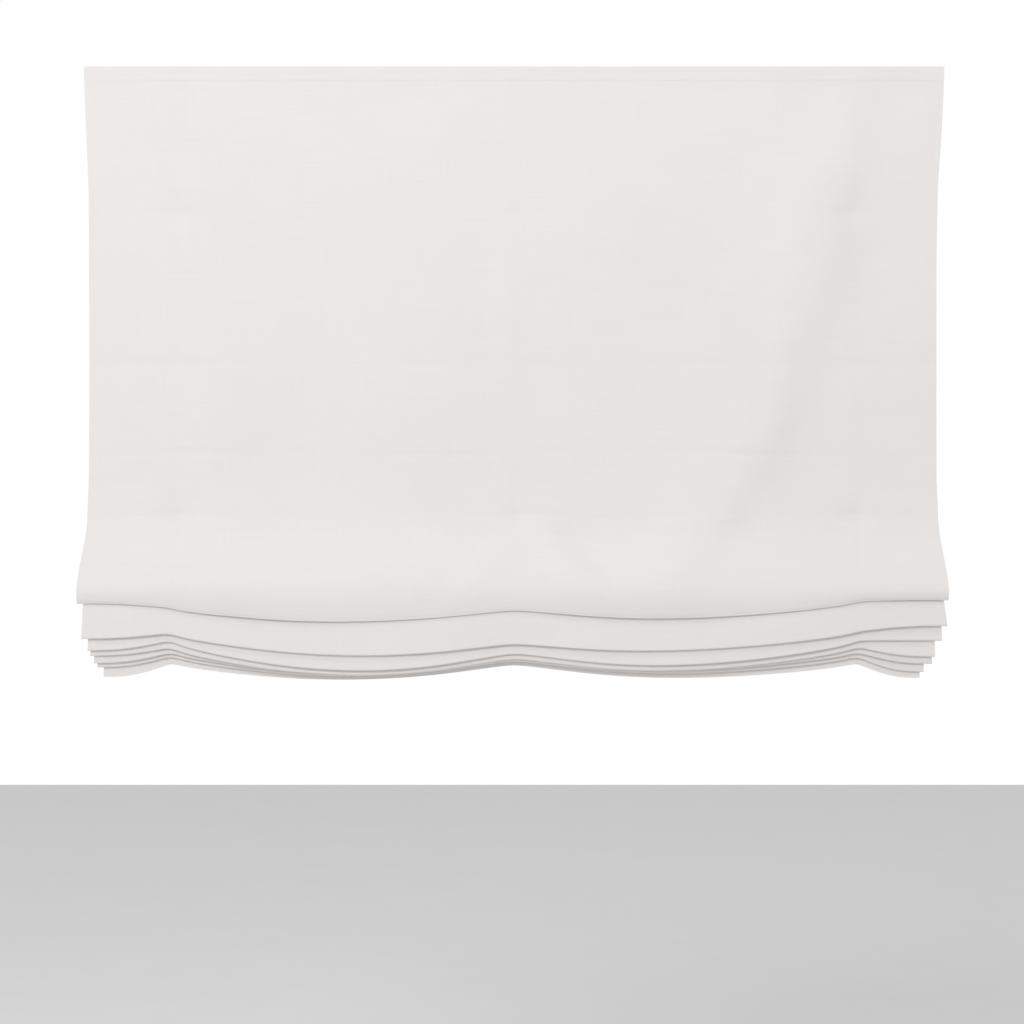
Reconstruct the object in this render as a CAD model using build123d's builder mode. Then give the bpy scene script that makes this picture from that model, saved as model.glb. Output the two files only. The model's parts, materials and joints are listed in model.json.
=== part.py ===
"""Relaxed roman blind, half raised: a head rail with cord drums and a chain drive, a soft
unlined cloth without rods, and the stack of folds that its three lift cords have gathered.

Millimetres, +Z up. The cloth faces -Y and the wall is the plane Y = 0. The origin is the middle
of the centre bracket's back, level with the axis of the head rail.
"""

import os
from math import pi, sqrt

from build123d import *

os.makedirs("parts", exist_ok=True)

# ---- Driving dimensions ------------------------------------------------------------------------
# Cloth
blind_width = 1200.0
cloth_thickness = 0.6
header_depth = 22.0  # the band that is stitched over the touch tape
first_ring_drop = 205.0  # cloth's top edge to the first ring row
ring_pitch = 210.0  # cloth between two ring rows
free_rows = 3  # ring rows that still hang free
packed_rows = 6  # ring rows gathered in the stack
stack_drop = 83.0  # last free ring row to the first gathered one
stack_pitch = 6.4  # gathered ring to gathered ring
hem_drop = 104.0  # cloth below the last ring row
cord_inset = 125.0  # cloth's side edge to the outer cords

# Folds, in the vertical plane across the blind
front_crest = 34.8  # the main fold's crest, forward of the cloth's plane
crest_pitch = 5.6  # one crest behind the next
crest_radius = 2.2
tip_radius = 1.2  # half the thickness of a fold where a ring holds it
fold_slope = 0.5  # fall for each unit forward, as the cloth leaves a ring
bulge_start = 8.0  # below the last free ring row the main fold turns forward here
bulge_start_radius = 22.0
bulge_drop = 70.0  # and hangs straight down from here
bulge_radius = 40.0

# Head rail
rail_inset = 4.0  # the rail's ends lie this far inside the cloth's side edges
rail_depth = 27.0
rail_height = 30.0
rail_wall = 1.4
rail_lip = 3.0
bead = 1.2  # the bead that brackets grip stands this proud of the rail
bead_height = 3.5
hook_tape_thickness = 1.5
tape_overhang = 1.0  # tape below the header's stitching

# Brackets
bracket_spread = 450.0  # centre bracket to the outer ones
bracket_width = 40.0
bracket_sheet = 1.2
bracket_drop = 12.0  # back plate's lower edge below the rail's axis
wall_hole_spacing = 26.0
wall_hole_z = -2.0
fixing_hole_radius = 2.3
leaf_width = 16.0
leaf_sheet = 0.5
leaf_low_z = -10.0
leaf_bend_z = 3.0
rivet_radius = 1.5
rivet_head_radius = 2.4
rivet_head_height = 0.8
rivet_z = -6.0
rail_standoff = 4.5  # wall to the rail's back

# Shaft, drums and cradles
shaft_side = 6.0
shaft_chamfer = 0.6
cord_radius = 0.7
drum_width = 44.0  # between its flanges
drum_flange = 1.2
journal_radius = 4.6
journal_length = 3.6
wound_turns = 20
cradle_wall = 3.0
cradle_floor = 1.6
snap_share = 0.9  # the bearing's open top, as a share of the journal's diameter
drum_end_play = 0.4

# Rings, ring tape, eyelets and cord adjusters
ring_radius = 4.9
ring_wire_radius = 1.1
ring_tape_width = 12.0
ring_tape_thickness = 0.4
eyelet_bore = 1.2
eyelet_wall = 0.8
eyelet_flange_radius = 3.5
eyelet_flange = 1.0
eyelet_rounding = 0.3
adjuster_overlap = 0.1  # adjuster's radius past the middle of the ring's wire
adjuster_length = 15.0
adjuster_rounding = 1.6
cord_tail = 9.0

# Chain drive
plug_length = 12.0
end_plate = 2.5
cap_rounding = 1.0
control_length = 18.0
control_wall = 1.6
cover_thickness = 1.6
cover_rounding = 0.8
wheel_width = 9.0
wheel_flange = 1.5
wheel_gap = 0.9  # wheel's rim to the chamber's walls
bead_cover = 1.4  # wheel's rim past the middle of the chain's beads
chain_pitch = 6.0
chain_bead_radius = 2.25
spindle_wall = 1.5
spindle_shoulder = 3.5  # spindle's flange past its tube
spindle_flange = 1.2
plug_wall = 2.0  # of the housing's plug, round the hub
hub_wall = 2.0
hub_floor = 3.0
hub_recess = 1.0  # hub's face behind the face of the housing's plug
spring_room = 1.0  # hub's floor to the spindle, and the spindle's end to the spring
spring_wire_radius = 0.55
spring_pitch = 1.4
spring_turns = 6
bush_radius = 5.0
bush_length = 10.0
bush_flange_radius = 7.0
bush_flange = 1.5
boss_radius = 2.2
boss_inset = 1.9  # boss centre to the inside of the housing's wall
screw_radius = 0.95
screw_length = 9.0
screw_head_radius = 2.0
screw_head_height = 1.2
screw_slot = 0.6

# Clearances
press_gap = 0.05  # between a pin or screw and the hole that grips it
wrap_gap = 0.1  # between a drum and the cord wound on it, or a cloth and its tape
square_gap = 0.15  # each side of the shaft in a square bore
seat_gap = 0.15  # between pieces that slide together and then stay
running_gap = 0.3  # between a turning piece and what carries it
soft_gap = 0.3  # between cloth, tape or ring and a neighbour
past = 1.0  # how far a cut runs past the face it goes through

# ---- Places worked out from them -----------------------------------------------------------------
centre_y = (Align.MIN, Align.CENTER, Align.CENTER)

rail_back_y = -rail_standoff
rail_front_y = rail_back_y - rail_depth
axis_y = (rail_back_y + rail_front_y) / 2
rail_top_z = rail_height / 2
rail_bottom_z = -rail_height / 2
rail_room = rail_depth - 2 * rail_wall
rail_room_z = rail_height - 2 * rail_wall
cap_left_x = -blind_width / 2 + rail_inset
rail_left_x = cap_left_x + end_plate
control_right_x = blind_width / 2 - rail_inset
rail_right_x = control_right_x - control_length

nose_back_y = rail_front_y - bead - seat_gap
nose_front_y = nose_back_y - bracket_sheet
bracket_top_z = rail_top_z + bracket_sheet
nose_low_z = rail_top_z - bead_height - seat_gap - bracket_sheet

cloth_back_y = nose_front_y - soft_gap
cloth_front_y = cloth_back_y - cloth_thickness
cloth_mid_y = cloth_back_y - cloth_thickness / 2
cloth_top_z = bracket_top_z + soft_gap
header_low_z = cloth_top_z - header_depth
tape_top_z = nose_low_z - 2 * soft_gap
tape_low_z = header_low_z - tape_overhang
hook_front_y = rail_front_y - hook_tape_thickness

ring_tape_back_y = cloth_back_y + ring_tape_thickness
cord_y = ring_tape_back_y + soft_gap + ring_radius + ring_wire_radius
cord_span = blind_width / 2 - cord_inset
cords = {"left": -cord_span, "centre": 0.0, "right": cord_span}
brackets = {"left": -bracket_spread, "centre": 0.0, "right": bracket_spread}
winding_radius = abs(cord_y - axis_y)

free_ring_z = [cloth_top_z - first_ring_drop - row * ring_pitch for row in range(free_rows)]
split_z = free_ring_z[-1]
packed_ring_z = [split_z - stack_drop - row * stack_pitch for row in range(packed_rows)]
tip_y = cloth_mid_y

# The drum sits so that its last turn of cord lies just beside the cord that hangs down
wound_length = wound_turns * 2 * cord_radius
drum_to_cord = -drum_width / 2 + soft_gap + wound_length + soft_gap + cord_radius
core_radius = winding_radius - cord_radius - wrap_gap
flange_radius = (
    min(rail_height / 2 - cradle_floor, rail_depth / 2 - seat_gap) - rail_wall - 2 * running_gap
)
drum_half = drum_width / 2 + drum_flange
cradle_half = drum_half + drum_end_play + cradle_wall


# ---- Small helpers ------------------------------------------------------------------------------
def disc(x, radius, length, mode=Mode.ADD):
    """A round of this radius about the rail's axis, from x towards +X."""
    with Locations((x, axis_y, 0)):
        Cylinder(
            radius,
            length,
            rotation=(0, 90, 0),
            align=(Align.CENTER, Align.CENTER, Align.MIN),
            mode=mode,
        )


def square_bore(x, length):
    """The shaft's bore through whatever turns with it."""
    with Locations((x, axis_y, 0)):
        side = shaft_side + 2 * square_gap
        Box(length, side, side, align=centre_y, mode=Mode.SUBTRACT)


def fold_points():
    """The cloth's middle line below the last free ring row, as (y, z) points with a radius for
    each corner. A loop hangs from one ring to the next, ring_pitch of cloth long, and lies just
    behind the loop before it. Cloth turns back at each ring in a narrow tip."""
    points, radii = [(tip_y, split_z - soft_gap / 2)], []
    slant = sqrt(1 + fold_slope**2)
    turns = pi * (crest_radius + tip_radius)
    for loop in range(packed_rows):
        forward = front_crest - loop * crest_pitch
        ahead, behind = forward + crest_radius, forward - crest_radius
        low_ring = packed_ring_z[loop]
        rise_z = low_ring + tip_radius - fold_slope * behind
        if loop == 0:
            # the main fold bulges out from the flat cloth, over the folds behind it
            leave_z = split_z - bulge_drop
            top_length = bulge_start + sqrt(ahead**2 + (bulge_drop - bulge_start) ** 2)
            points.append((tip_y, split_z - bulge_start))
            radii.append(bulge_start_radius)
            knee_radius = bulge_radius
        else:
            leave_z = packed_ring_z[loop - 1] - tip_radius - fold_slope * ahead
            top_length = ahead * slant
            knee_radius = crest_radius
        points.append((tip_y - ahead, leave_z))
        radii.append(knee_radius)
        legs = ring_pitch - top_length - behind * slant - turns
        crest_z = (leave_z + rise_z - legs) / 2 - crest_radius
        points += [(tip_y - ahead, crest_z), (tip_y - behind, crest_z)]
        radii += [0.9 * crest_radius, 0.9 * crest_radius]
        points += [(tip_y - behind, rise_z), (tip_y, low_ring + tip_radius)]
        radii += [min(crest_radius, 0.4 * behind), 0.8 * tip_radius]
        points.append((tip_y, low_ring - tip_radius))
        radii.append(0.8 * tip_radius)
    # the last stretch leaves its ring and hangs straight, down to the hem
    ahead = crest_radius
    leave_z = packed_ring_z[-1] - tip_radius - fold_slope * ahead
    points += [(tip_y - ahead, leave_z), (tip_y - ahead, packed_ring_z[-1] - hem_drop)]
    radii.append(crest_radius)
    return points, radii


def beside(points, radii, gap):
    """The line that keeps this gap from the one given, on its left, with its corner radii."""
    line = [Vector(*p) for p in points]
    runs = [(b - a).normalized() for a, b in zip(line, line[1:])]
    sides = [Vector(-run.Y, run.X) for run in runs]
    moved, new_radii = [line[0] + sides[0] * gap], []
    for corner, radius, (a, b), (before, after) in zip(
        line[1:-1], radii, zip(runs, runs[1:]), zip(sides, sides[1:])
    ):
        moved.append(corner + (before + after) * (gap / (1 + before.dot(after))))
        turns_left = a.X * b.Y - a.Y * b.X > 0
        new_radii.append(radius - gap if turns_left else radius + gap)
    moved.append(line[-1] + sides[-1] * gap)
    return [(p.X, p.Y) for p in moved], new_radii


def band_outline(points, radii, low, high):
    """The outline of a strip that follows the line, from one gap beside it to another."""
    ends = []
    for gap in (low, high):
        side_points, side_radii = beside(points, radii, gap)
        FilletPolyline(*side_points, radius=side_radii)
        ends.append((side_points[0], side_points[-1]))
    Line(ends[0][0], ends[1][0])
    Line(ends[0][1], ends[1][1])


# ---- Head rail ----------------------------------------------------------------------------------
with BuildPart() as head_rail:
    with BuildSketch(Plane.YZ.offset(rail_left_x)):
        with Locations((axis_y, 0)):
            Rectangle(rail_depth, rail_height)
        with Locations((axis_y, 0)):
            Rectangle(rail_room, rail_room_z, mode=Mode.SUBTRACT)
        with Locations((axis_y, rail_top_z)):
            Rectangle(rail_room - 2 * rail_lip, 4 * rail_wall, mode=Mode.SUBTRACT)
        with Locations(
            (rail_front_y - bead / 2, rail_top_z - bead_height / 2),
            (rail_back_y + bead / 2, rail_top_z - bead_height / 2),
        ):
            Rectangle(bead, bead_height)
    extrude(amount=rail_right_x - rail_left_x)
    with Locations([(x, cord_y, rail_bottom_z) for x in cords.values()]):
        Cylinder(eyelet_bore + eyelet_wall + seat_gap, 4 * rail_wall, mode=Mode.SUBTRACT)
head_rail.part.label = "head_rail"
export_step(head_rail.part, "parts/head_rail.step")

with BuildPart() as end_cap_left:
    with Locations((cap_left_x, axis_y, 0)):
        Box(end_plate, rail_depth, rail_height, align=centre_y)
    with Locations((rail_left_x, axis_y, 0)):
        Box(plug_length, rail_room - 2 * seat_gap, rail_room_z - 2 * seat_gap, align=centre_y)
    bore_x = rail_left_x + plug_length - bush_length - running_gap
    disc(bore_x, bush_radius + running_gap, bush_length + past, mode=Mode.SUBTRACT)
    fillet(end_cap_left.faces().sort_by(Axis.X)[0].edges(), cap_rounding)
end_cap_left.part.label = "end_cap_left"
export_step(end_cap_left.part, "parts/end_cap_left.step")

# ---- Brackets, with a spring leaf and its rivet ---------------------------------------------------
for side, x in brackets.items():
    with BuildPart() as bracket:
        with BuildSketch(Plane.YZ.offset(x - bracket_width / 2)):
            with BuildLine():
                Polyline(
                    (0, -bracket_drop),
                    (0, bracket_top_z),
                    (nose_front_y, bracket_top_z),
                    (nose_front_y, nose_low_z),
                    (rail_front_y - seat_gap, nose_low_z),
                    (rail_front_y - seat_gap, nose_low_z + bracket_sheet),
                    (nose_back_y, nose_low_z + bracket_sheet),
                    (nose_back_y, rail_top_z),
                    (-bracket_sheet, rail_top_z),
                    (-bracket_sheet, -bracket_drop),
                    close=True,
                )
            make_face()
        extrude(amount=bracket_width)
        with GridLocations(wall_hole_spacing, 1, 2, 1):
            with Locations((x, 0, wall_hole_z)):
                Cylinder(
                    fixing_hole_radius,
                    4 * bracket_sheet,
                    rotation=(90, 0, 0),
                    mode=Mode.SUBTRACT,
                )
            with Locations((x, axis_y, bracket_top_z)):
                Cylinder(fixing_hole_radius, 4 * bracket_sheet, mode=Mode.SUBTRACT)
        with Locations((x, 0, rivet_z)):
            Cylinder(
                rivet_radius + press_gap,
                4 * bracket_sheet,
                rotation=(90, 0, 0),
                mode=Mode.SUBTRACT,
            )
    bracket.part.label = f"bracket_{side}"
    export_step(bracket.part, f"parts/bracket_{side}.step")

    with BuildPart() as bracket_leaf:
        leaf_front_y = -bracket_sheet - leaf_sheet
        leaf_tip_z = rail_top_z - bead_height - soft_gap
        with BuildSketch(Plane.YZ.offset(x - leaf_width / 2)):
            with BuildLine():
                Polyline(
                    (-bracket_sheet, leaf_low_z),
                    (-bracket_sheet, leaf_bend_z),
                    (rail_back_y + bead / 2 + leaf_sheet, leaf_tip_z),
                    (rail_back_y + bead / 2, leaf_tip_z),
                    (leaf_front_y, leaf_bend_z),
                    (leaf_front_y, leaf_low_z),
                    close=True,
                )
            make_face()
        extrude(amount=leaf_width)
        with Locations((x, leaf_front_y, rivet_z)):
            Cylinder(
                rivet_radius + press_gap,
                4 * leaf_sheet,
                rotation=(90, 0, 0),
                mode=Mode.SUBTRACT,
            )
    bracket_leaf.part.label = f"bracket_leaf_{side}"
    export_step(bracket_leaf.part, f"parts/bracket_leaf_{side}.step")

with BuildPart() as leaf_rivets:
    for x in brackets.values():
        with Locations((x, -(bracket_sheet + leaf_sheet) / 2, rivet_z)):
            Cylinder(rivet_radius, bracket_sheet + leaf_sheet, rotation=(90, 0, 0))
        with Locations((x, leaf_front_y - rivet_head_height / 2, rivet_z)):
            Cylinder(rivet_head_radius, rivet_head_height, rotation=(90, 0, 0))
leaf_rivets.part.label = "leaf_rivets"
export_step(leaf_rivets.part, "parts/leaf_rivets.step")

# ---- Touch tape, in its two halves ----------------------------------------------------------------
with BuildPart() as hook_tape:
    with Locations((0, hook_front_y, tape_low_z)):
        Box(
            blind_width - 4 * rail_inset,
            hook_tape_thickness,
            tape_top_z - tape_low_z,
            align=(Align.CENTER, Align.MIN, Align.MIN),
        )
hook_tape.part.label = "hook_tape"
export_step(hook_tape.part, "parts/hook_tape.step")

with BuildPart() as loop_tape:
    with Locations((0, cloth_back_y, tape_low_z)):
        Box(
            blind_width - 4 * rail_inset,
            hook_front_y - cloth_back_y,
            tape_top_z - tape_low_z,
            align=(Align.CENTER, Align.MIN, Align.MIN),
        )
loop_tape.part.label = "loop_tape"
export_step(loop_tape.part, "parts/loop_tape.step")

# ---- Cord drums, their wound cord, cradles and eyelets --------------------------------------------
for side, cord_x in cords.items():
    drum_x = cord_x - drum_to_cord

    with BuildPart() as cord_drum:
        disc(drum_x - drum_half - journal_length, journal_radius, 2 * (drum_half + journal_length))
        disc(drum_x - drum_half, flange_radius, drum_flange)
        disc(drum_x - drum_width / 2, core_radius, drum_width)
        disc(drum_x + drum_width / 2, flange_radius, drum_flange)
        square_bore(drum_x - drum_half - journal_length - past, 2 * (drum_half + journal_length + past))
    cord_drum.part.label = f"cord_drum_{side}"
    export_step(cord_drum.part, f"parts/cord_drum_{side}.step")

    with BuildPart() as wound_cord:
        wound_x = drum_x - drum_width / 2 + soft_gap
        disc(wound_x, winding_radius + cord_radius, wound_length)
        disc(wound_x - past, core_radius + wrap_gap, wound_length + 2 * past, mode=Mode.SUBTRACT)
    wound_cord.part.label = f"wound_cord_{side}"
    export_step(wound_cord.part, f"parts/wound_cord_{side}.step")

    with BuildPart() as drum_cradle:
        cradle_low_z = rail_bottom_z + rail_wall
        cradle_height = rail_room_z - seat_gap
        with Locations((drum_x, axis_y, cradle_low_z)):
            Box(
                2 * cradle_half,
                rail_room - 2 * seat_gap,
                cradle_height,
                align=(Align.CENTER, Align.CENTER, Align.MIN),
            )
        with Locations((drum_x, axis_y, cradle_low_z + cradle_floor)):
            Box(
                2 * (cradle_half - cradle_wall),
                rail_depth,
                cradle_height,
                align=(Align.CENTER, Align.CENTER, Align.MIN),
                mode=Mode.SUBTRACT,
            )
        # bearings, open above so that the drum snaps in
        bearing = journal_radius + running_gap
        disc(drum_x - cradle_half - past, bearing, 2 * (cradle_half + past), mode=Mode.SUBTRACT)
        with Locations((drum_x, axis_y, 0)):
            Box(
                2 * (cradle_half + past),
                snap_share * 2 * journal_radius,
                rail_height,
                align=(Align.CENTER, Align.CENTER, Align.MIN),
                mode=Mode.SUBTRACT,
            )
        with Locations((cord_x, cord_y, cradle_low_z)):
            Cylinder(eyelet_bore + eyelet_wall + seat_gap, 4 * cradle_floor, mode=Mode.SUBTRACT)
    drum_cradle.part.label = f"drum_cradle_{side}"
    export_step(drum_cradle.part, f"parts/drum_cradle_{side}.step")

    with BuildPart() as cord_eyelet:
        with Locations((cord_x, cord_y, rail_bottom_z)):
            Cylinder(
                eyelet_bore + eyelet_wall,
                rail_wall + cradle_floor,
                align=(Align.CENTER, Align.CENTER, Align.MIN),
            )
            Cylinder(
                eyelet_flange_radius,
                eyelet_flange,
                align=(Align.CENTER, Align.CENTER, Align.MAX),
            )
            Cylinder(eyelet_bore, 4 * (rail_wall + cradle_floor), mode=Mode.SUBTRACT)
        fillet(cord_eyelet.edges().filter_by(GeomType.CIRCLE).sort_by(Axis.Z)[0:2], eyelet_rounding)
    cord_eyelet.part.label = f"cord_eyelet_{side}"
    export_step(cord_eyelet.part, f"parts/cord_eyelet_{side}.step")

    # the lift cord hangs from its drum through the eyelet and every ring, down to its adjuster
    adjuster_top_z = packed_ring_z[-1] - ring_wire_radius - soft_gap
    adjuster_low_z = adjuster_top_z - adjuster_length
    adjuster_radius = ring_radius + adjuster_overlap
    with BuildPart() as lift_cord:
        with Locations((cord_x, cord_y, adjuster_low_z - cord_tail)):
            Cylinder(
                cord_radius,
                cord_tail - adjuster_low_z,
                align=(Align.CENTER, Align.CENTER, Align.MIN),
            )
    lift_cord.part.label = f"lift_cord_{side}"
    export_step(lift_cord.part, f"parts/lift_cord_{side}.step")

    with BuildPart() as cord_adjuster:
        with Locations((cord_x, cord_y, adjuster_low_z)):
            Cylinder(
                adjuster_radius,
                adjuster_length,
                align=(Align.CENTER, Align.CENTER, Align.MIN),
            )
        fillet(cord_adjuster.edges(), adjuster_rounding)
        with Locations((cord_x, cord_y, adjuster_low_z)):
            Cylinder(cord_radius + running_gap, 4 * adjuster_length, mode=Mode.SUBTRACT)
    cord_adjuster.part.label = f"cord_adjuster_{side}"
    export_step(cord_adjuster.part, f"parts/cord_adjuster_{side}.step")

# ---- Shaft, with the bush that carries its left end -----------------------------------------------
bush_x = rail_left_x + plug_length - bush_length
hub_left_x = rail_right_x - plug_length + hub_recess
with BuildPart() as drive_shaft:
    with Locations((bush_x + square_gap, axis_y, 0)):
        Box(
            hub_left_x + hub_floor - running_gap - bush_x - square_gap,
            shaft_side,
            shaft_side,
            align=centre_y,
        )
    chamfer(drive_shaft.edges().filter_by(Axis.X), shaft_chamfer)
drive_shaft.part.label = "drive_shaft"
export_step(drive_shaft.part, "parts/drive_shaft.step")

with BuildPart() as shaft_bush:
    disc(bush_x, bush_radius, bush_length)
    disc(bush_x + bush_length + running_gap, bush_flange_radius, bush_flange)
    disc(bush_x, bush_radius, bush_length + 2 * running_gap)
    square_bore(bush_x - past, bush_length + running_gap + bush_flange + 2 * past)
shaft_bush.part.label = "shaft_bush"
export_step(shaft_bush.part, "parts/shaft_bush.step")

# ---- Chain drive at the right end -----------------------------------------------------------------
chamber_left_x = rail_right_x + control_wall
cover_left_x = control_right_x - cover_thickness
boss_y = rail_depth / 2 - control_wall - boss_inset
boss_z = rail_top_z - control_wall - boss_inset
boss_places = [(axis_y - boss_y, boss_z), (axis_y + boss_y, boss_z)]
hub_radius = min(rail_room, rail_room_z) / 2 - seat_gap - plug_wall - running_gap
spring_radius = hub_radius - hub_wall - running_gap - spring_wire_radius
spindle_radius = spring_radius - spring_wire_radius - running_gap
spindle_bore = spindle_radius - spindle_wall
wheel_radius = rail_depth / 2 - control_wall - wheel_gap
bead_count = int(2 * pi * (wheel_radius - bead_cover) / chain_pitch)

with BuildPart() as control_housing:
    with Locations((rail_right_x - plug_length, axis_y, 0)):
        Box(plug_length, rail_room - 2 * seat_gap, rail_room_z - 2 * seat_gap, align=centre_y)
    with Locations((rail_right_x, axis_y, 0)):
        Box(cover_left_x - rail_right_x, rail_depth, rail_height, align=centre_y)
    # the chamber of the chain wheel is open below, where the chain hangs out
    with Locations((chamber_left_x, axis_y, rail_top_z - control_wall)):
        Box(
            control_length,
            rail_depth - 2 * control_wall,
            2 * rail_height,
            align=(Align.MIN, Align.CENTER, Align.MAX),
            mode=Mode.SUBTRACT,
        )
    with BuildSketch(Plane.YZ.offset(rail_right_x)):
        with Locations(*boss_places):
            Circle(boss_radius)
    extrude(amount=cover_left_x - rail_right_x)
    disc(
        rail_right_x - plug_length - past,
        hub_radius + running_gap,
        plug_length + control_wall + 2 * past,
        mode=Mode.SUBTRACT,
    )
    with BuildSketch(Plane.YZ.offset(cover_left_x)):
        with Locations(*boss_places):
            Circle(screw_radius + press_gap)
    extrude(amount=-(screw_length - cover_thickness + past), mode=Mode.SUBTRACT)
control_housing.part.label = "control_housing"
export_step(control_housing.part, "parts/control_housing.step")

with BuildPart() as control_cover:
    with Locations((cover_left_x, axis_y, 0)):
        Box(cover_thickness, rail_depth, rail_height, align=centre_y)
    with BuildSketch(Plane.YZ.offset(cover_left_x)):
        with Locations(*boss_places):
            Circle(screw_radius + seat_gap)
    extrude(amount=cover_thickness, mode=Mode.SUBTRACT)
    fillet(control_cover.faces().sort_by(Axis.X)[-1].outer_wire().edges(), cover_rounding)
control_cover.part.label = "control_cover"
export_step(control_cover.part, "parts/control_cover.step")

with BuildPart() as cover_screws:
    with BuildSketch(Plane.YZ.offset(control_right_x)):
        with Locations(*boss_places):
            Circle(screw_radius)
    extrude(amount=-screw_length)
    with BuildSketch(Plane.YZ.offset(control_right_x)):
        with Locations(*boss_places):
            Circle(screw_head_radius)
    extrude(amount=screw_head_height)
    with BuildSketch(Plane.YZ.offset(control_right_x + screw_head_height / 2)):
        with Locations(*boss_places):
            Rectangle(2 * screw_head_radius + past, screw_slot)
    extrude(amount=screw_head_height, mode=Mode.SUBTRACT)
cover_screws.part.label = "cover_screws"
export_step(cover_screws.part, "parts/cover_screws.step")

spindle_left_x = hub_left_x + hub_floor + spring_room
with BuildPart() as clutch_spindle:
    disc(cover_left_x - spindle_flange, spindle_radius + spindle_shoulder, spindle_flange)
    disc(spindle_left_x, spindle_radius, cover_left_x - spindle_left_x)
    disc(spindle_left_x - past, spindle_bore, cover_left_x - spindle_left_x + 2 * past, Mode.SUBTRACT)
clutch_spindle.part.label = "clutch_spindle"
export_step(clutch_spindle.part, "parts/clutch_spindle.step")

wheel_room = cover_left_x - spindle_flange - chamber_left_x
wheel_x = chamber_left_x + (wheel_room - wheel_width) / 2
wheel_pitch_radius = bead_count * chain_pitch / (2 * pi)
with BuildPart() as chain_wheel:
    disc(wheel_x, wheel_radius, wheel_flange)
    disc(wheel_x, wheel_pitch_radius, wheel_width)
    disc(wheel_x + wheel_width - wheel_flange, wheel_radius, wheel_flange)
    with Locations(Plane.YZ.offset(wheel_x + wheel_width / 2) * Location((axis_y, 0))):
        with PolarLocations(wheel_pitch_radius, bead_count):
            Sphere(chain_bead_radius + seat_gap, mode=Mode.SUBTRACT)
    disc(wheel_x - past, spindle_radius + running_gap, wheel_width + 2 * past, mode=Mode.SUBTRACT)
chain_wheel.part.label = "chain_wheel"
export_step(chain_wheel.part, "parts/chain_wheel.step")

with BuildPart() as output_hub:
    disc(hub_left_x, hub_radius, wheel_x - running_gap - hub_left_x)
    disc(hub_left_x + hub_floor, hub_radius - hub_wall, control_length, mode=Mode.SUBTRACT)
    square_bore(hub_left_x - past, hub_floor + 2 * past)
output_hub.part.label = "output_hub"
export_step(output_hub.part, "parts/output_hub.step")

with BuildPart() as clutch_spring:
    with BuildLine() as coil:
        Helix(
            pitch=spring_pitch,
            height=spring_turns * spring_pitch,
            radius=spring_radius,
            center=(spindle_left_x + spring_room, axis_y, 0),
            direction=(1, 0, 0),
        )
    with BuildSketch(Plane(origin=coil.line @ 0, z_dir=coil.line % 0)):
        Circle(spring_wire_radius)
    sweep(is_frenet=True)
clutch_spring.part.label = "clutch_spring"
export_step(clutch_spring.part, "parts/clutch_spring.step")

# ---- Cloth --------------------------------------------------------------------------------------
with BuildPart() as cloth_panel:
    with Locations((0, cloth_back_y, cloth_top_z)):
        Box(
            blind_width,
            cloth_thickness,
            cloth_top_z - split_z - soft_gap / 2,
            align=(Align.CENTER, Align.MAX, Align.MAX),
        )
cloth_panel.part.label = "cloth_panel"
export_step(cloth_panel.part, "parts/cloth_panel.step")

fold_line, fold_radii = fold_points()
with BuildPart() as cloth_folds:
    with BuildSketch(Plane.YZ.offset(-blind_width / 2)):
        with BuildLine():
            band_outline(fold_line, fold_radii, -cloth_thickness / 2, cloth_thickness / 2)
        make_face()
    extrude(amount=blind_width)
cloth_folds.part.label = "cloth_folds"
export_step(cloth_folds.part, "parts/cloth_folds.step")

# ---- Ring tapes and rings -------------------------------------------------------------------------
with BuildPart() as ring_tapes_upper:
    with Locations([(x, ring_tape_back_y, tape_low_z - soft_gap) for x in cords.values()]):
        Box(
            ring_tape_width,
            ring_tape_thickness,
            tape_low_z - split_z - 1.5 * soft_gap,
            align=(Align.CENTER, Align.MAX, Align.MAX),
        )
ring_tapes_upper.part.label = "ring_tapes_upper"
export_step(ring_tapes_upper.part, "parts/ring_tapes_upper.step")

# below, the tapes follow the back of the cloth through every fold
lower_tape_in = cloth_thickness / 2 + wrap_gap
with BuildPart() as ring_tapes_lower:
    for x in cords.values():
        with BuildSketch(Plane.YZ.offset(x - ring_tape_width / 2)):
            with BuildLine():
                band_outline(
                    fold_line, fold_radii, lower_tape_in, lower_tape_in + ring_tape_thickness
                )
            make_face()
        extrude(amount=ring_tape_width)
ring_tapes_lower.part.label = "ring_tapes_lower"
export_step(ring_tapes_lower.part, "parts/ring_tapes_lower.step")

ring_rows = free_ring_z + packed_ring_z
for row, ring_z in enumerate(ring_rows, start=1):
    with BuildPart() as ring_row:
        with Locations([(x, cord_y, ring_z) for x in cords.values()]):
            Torus(ring_radius, ring_wire_radius)
    ring_row.part.label = f"ring_row_{row}"
    export_step(ring_row.part, f"parts/ring_row_{row}.step")
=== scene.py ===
"""Relaxed roman blind, half raised: the cloth, cords, stitching and finishes round its frame."""

import json
import math

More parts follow.
